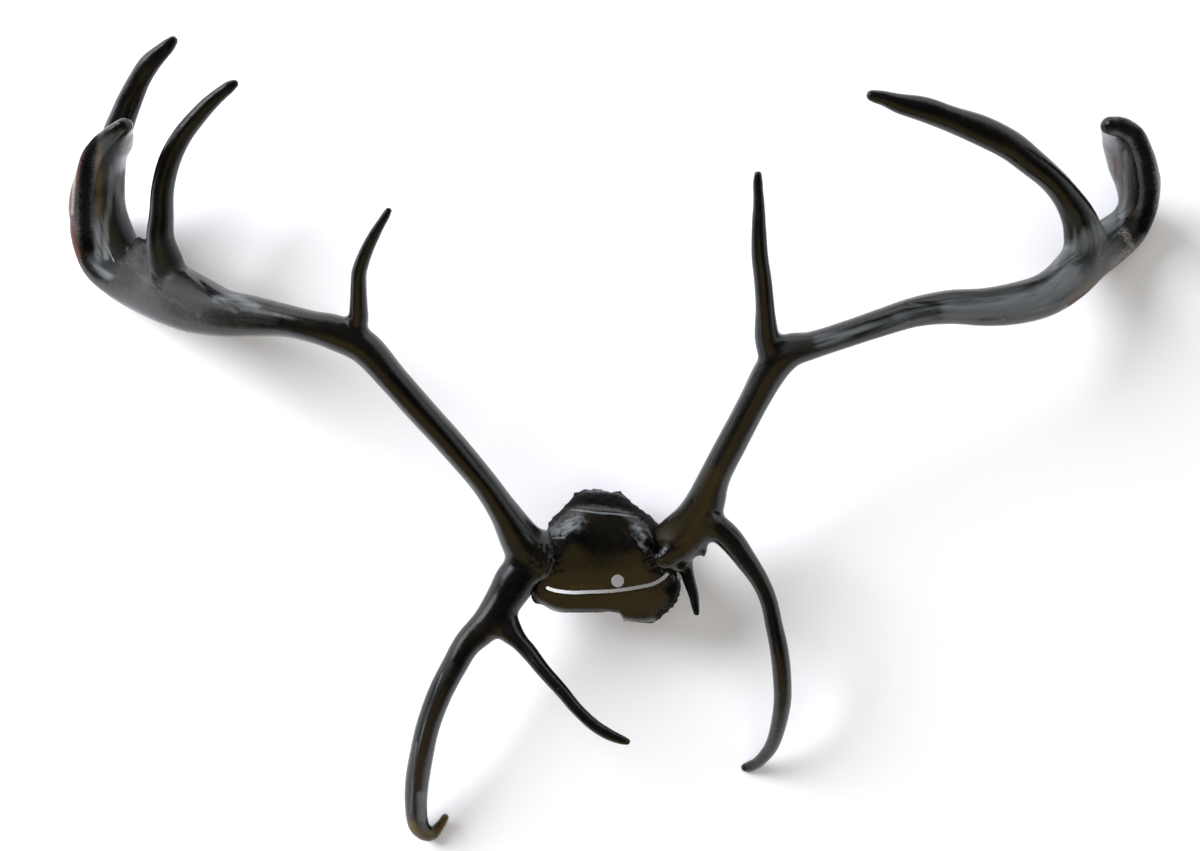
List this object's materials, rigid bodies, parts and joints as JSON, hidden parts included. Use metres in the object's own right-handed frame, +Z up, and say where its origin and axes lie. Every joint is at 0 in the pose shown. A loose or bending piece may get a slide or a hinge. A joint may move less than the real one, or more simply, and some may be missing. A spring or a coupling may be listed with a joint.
{
  "type": "pair of lacquered reindeer antlers on a sawn skull plate",
  "caption": "Pair of reindeer antlers on a sawn skull plate, finished in black gloss: long curved beams, forward bez tines, flat palms and crown tines.",
  "frame": {"origin": "middle of the bounding box on the floor, under the gap between the two beams", "axes": "+X towards the antler on the right of the page, +Y from the forehead towards the back of the head and the crown tines, +Z up from the floor it lies on"},
  "size_m": [1.0636, 0.7681, 0.2324],
  "materials": {
    "lacquered_antler": "antler bone under black gloss lacquer",
    "lacquered_palm": "antler palm under thin black lacquer, worn at its edges",
    "lacquered_skull_bone": "skull bone under black lacquer, with bare brown scuffs"
  },
  "bodies": {
    "root": {"left_bez_tine": "lacquered_antler", "left_brow_tine": "lacquered_antler", "left_crown_tine_inner": "lacquered_antler", "left_crown_tine_outer": "lacquered_antler", "left_lower_beam": "lacquered_antler", "left_palm": "lacquered_palm", "left_rear_tine": "lacquered_antler", "left_upper_beam": "lacquered_antler", "right_bez_tine": "lacquered_antler", "right_brow_tine": "lacquered_antler", "right_crown_tine": "lacquered_antler", "right_lower_beam": "lacquered_antler", "right_palm": "lacquered_palm", "right_rear_tine": "lacquered_antler", "right_upper_beam": "lacquered_antler", "skull_plate": "lacquered_skull_bone"}
  },
  "joints": []
}
